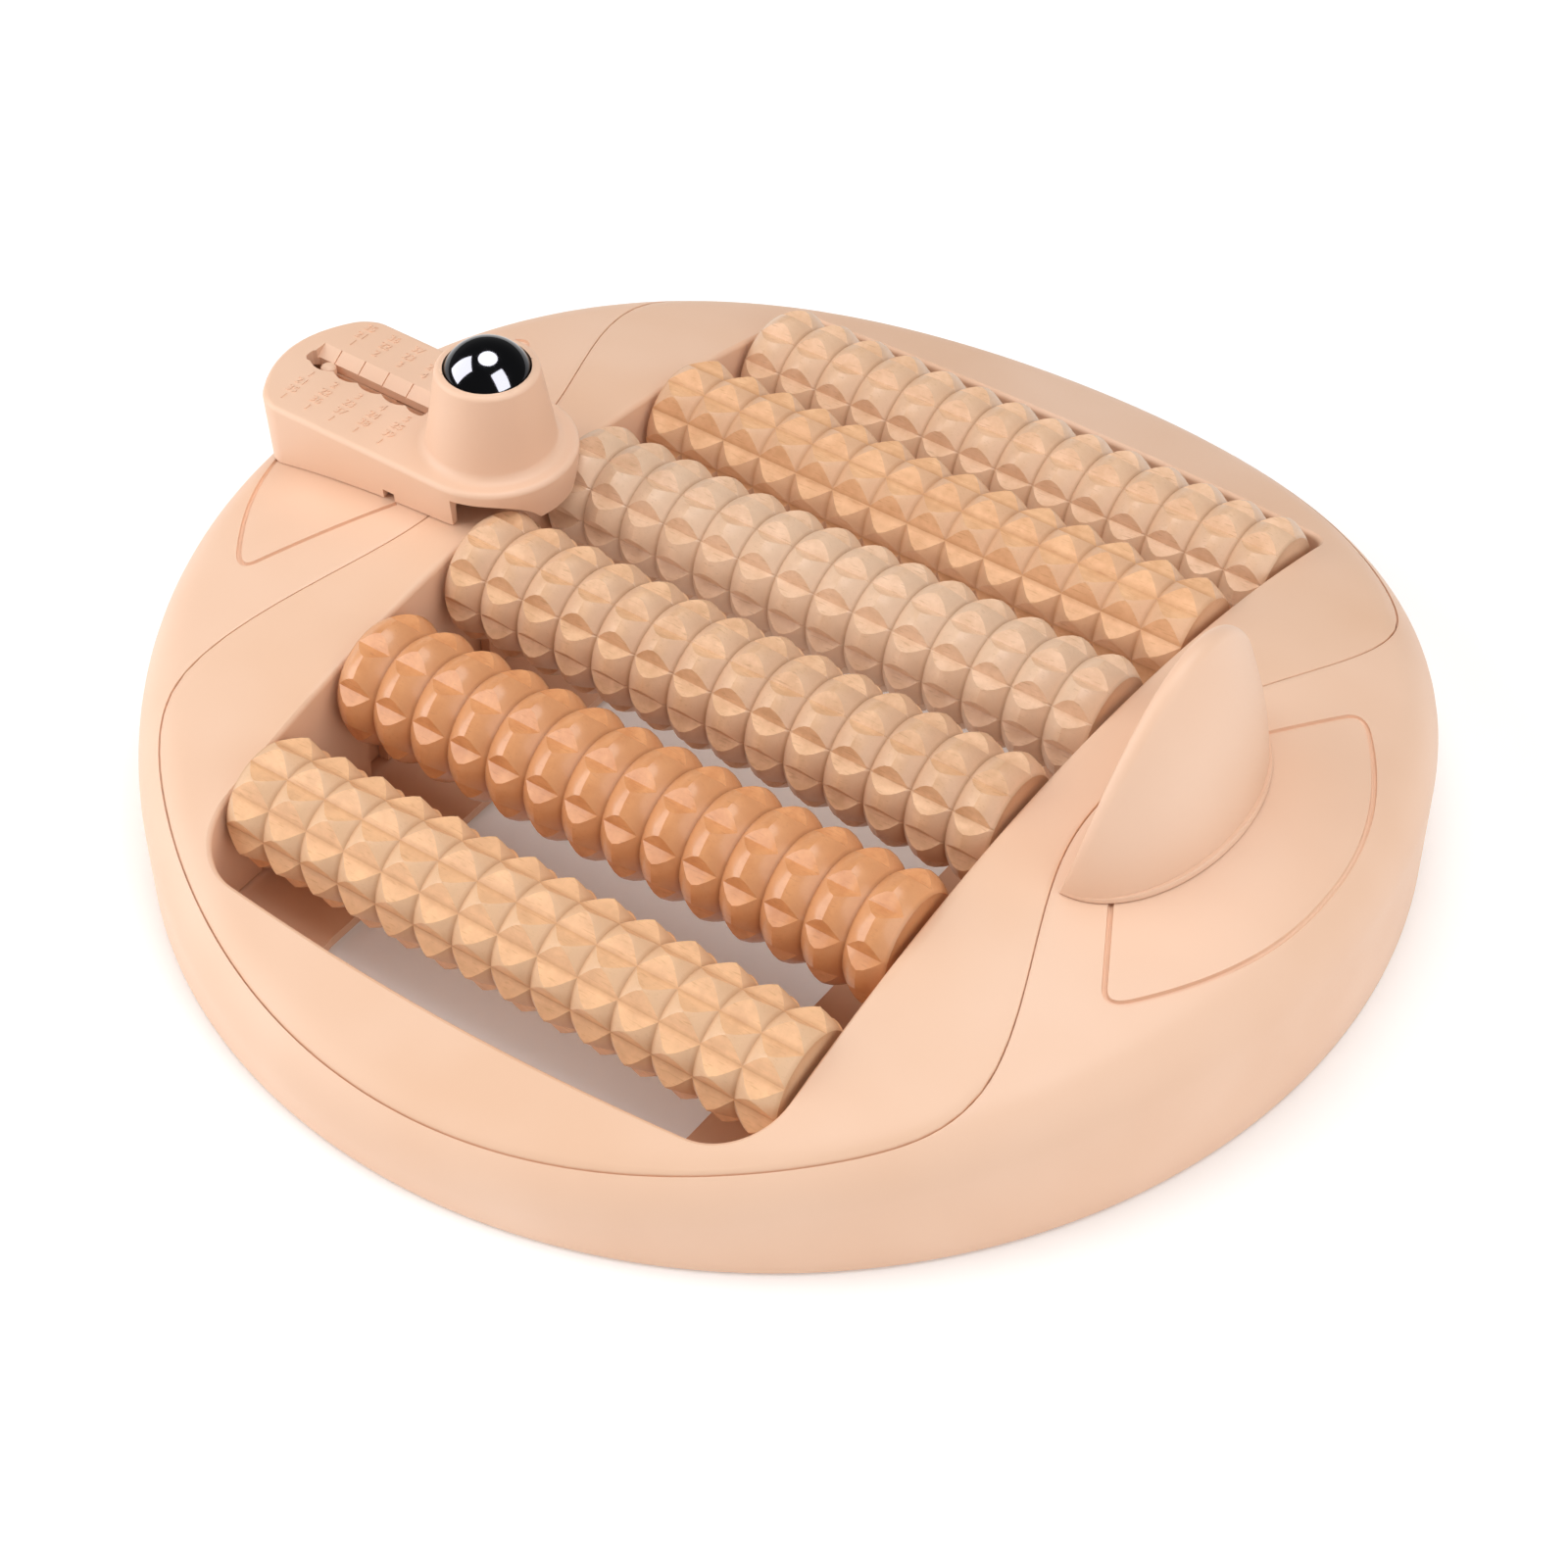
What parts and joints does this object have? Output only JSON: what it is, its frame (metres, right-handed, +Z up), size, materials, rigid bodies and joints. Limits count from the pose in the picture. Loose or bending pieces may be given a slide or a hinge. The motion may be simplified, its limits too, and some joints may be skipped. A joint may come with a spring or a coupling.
{
  "type": "foot massage roller",
  "caption": "Low round arched foot massager: notched wooden rollers on axles across an oval plastic base, a sliding arm with a rolling steel ball, and an upright arch fin.",
  "frame": {"origin": "centre of the base's bounding box, on the floor plane under the rubber feet", "axes": "+X along the rollers from the arm's side to the fin's side, +Y across the rollers to the back, +Z up"},
  "size_m": [0.279, 0.285, 0.09],
  "materials": {
    "peach_plastic": "satin moulded",
    "peach_plastic_inner": "satin moulded",
    "beech": "turned and cut, clear wax",
    "pale_beech": "turned and cut, clear wax",
    "varnished_wood": "varnished",
    "steel": "drawn",
    "polished_steel": "mirror polished",
    "rubber": "matt"
  },
  "bodies": {
    "base": {"outer_shell": "peach_plastic", "roller_frame": "peach_plastic_inner", "bottom_plate": "peach_plastic_inner", "axle_cradle_left": "peach_plastic_inner", "axle_cradle_right": "peach_plastic_inner", "arm_rail": "peach_plastic_inner", "index_pin": "peach_plastic", "arch_fin": "peach_plastic", "axle_1": "steel", "axle_2": "steel", "axle_3": "steel", "axle_4": "steel", "axle_5": "steel", "axle_6": "steel", "rubber_foot_1": "rubber", "shell_screw_1": "steel", "frame_screw_1": "steel", "rubber_foot_2": "rubber", "shell_screw_2": "steel", "frame_screw_2": "steel", "rubber_foot_3": "rubber", "shell_screw_3": "steel", "frame_screw_3": "steel", "rubber_foot_4": "rubber", "shell_screw_4": "steel", "frame_screw_4": "steel", "rail_screw_1": "steel", "fin_screw_1": "steel", "rail_screw_2": "steel", "fin_screw_2": "steel"},
    "roller_1_body": {"roller_1": "beech"},
    "roller_2_body": {"roller_2": "varnished_wood"},
    "roller_3_body": {"roller_3": "pale_beech"},
    "roller_4_body": {"roller_4": "pale_beech"},
    "roller_5_body": {"roller_5": "beech"},
    "roller_6_body": {"roller_6": "pale_beech"},
    "arm": {"slide_arm": "peach_plastic", "ball_seat": "peach_plastic_inner"},
    "ball": {"steel_ball": "polished_steel"}
  },
  "joints": [
    {"name": "roller_1_spin", "type": "hinge", "parent": "base", "child": "roller_1_body", "pos_m": [0, -0.091, 0.0262], "axis": [1, 0, 0], "continuous": true},
    {"name": "roller_2_spin", "type": "hinge", "parent": "base", "child": "roller_2_body", "pos_m": [0, -0.0546, 0.03425], "axis": [1, 0, 0], "continuous": true},
    {"name": "roller_3_spin", "type": "hinge", "parent": "base", "child": "roller_3_body", "pos_m": [0, -0.0182, 0.03821], "axis": [1, 0, 0], "continuous": true},
    {"name": "roller_4_spin", "type": "hinge", "parent": "base", "child": "roller_4_body", "pos_m": [0, 0.0182, 0.03821], "axis": [1, 0, 0], "continuous": true},
    {"name": "roller_5_spin", "type": "hinge", "parent": "base", "child": "roller_5_body", "pos_m": [0, 0.0546, 0.03425], "axis": [1, 0, 0], "continuous": true},
    {"name": "roller_6_spin", "type": "hinge", "parent": "base", "child": "roller_6_body", "pos_m": [0, 0.091, 0.0262], "axis": [1, 0, 0], "continuous": true},
    {"name": "arm_slide", "type": "slide", "parent": "base", "child": "arm", "axis": [-1, 0, 0], "range_m": [0, 0.028]},
    {"name": "ball_roll", "type": "hinge", "parent": "arm", "child": "ball", "pos_m": [-0.0805, 0, 0.0733], "axis": [0, 1, 0], "continuous": true}
  ]
}
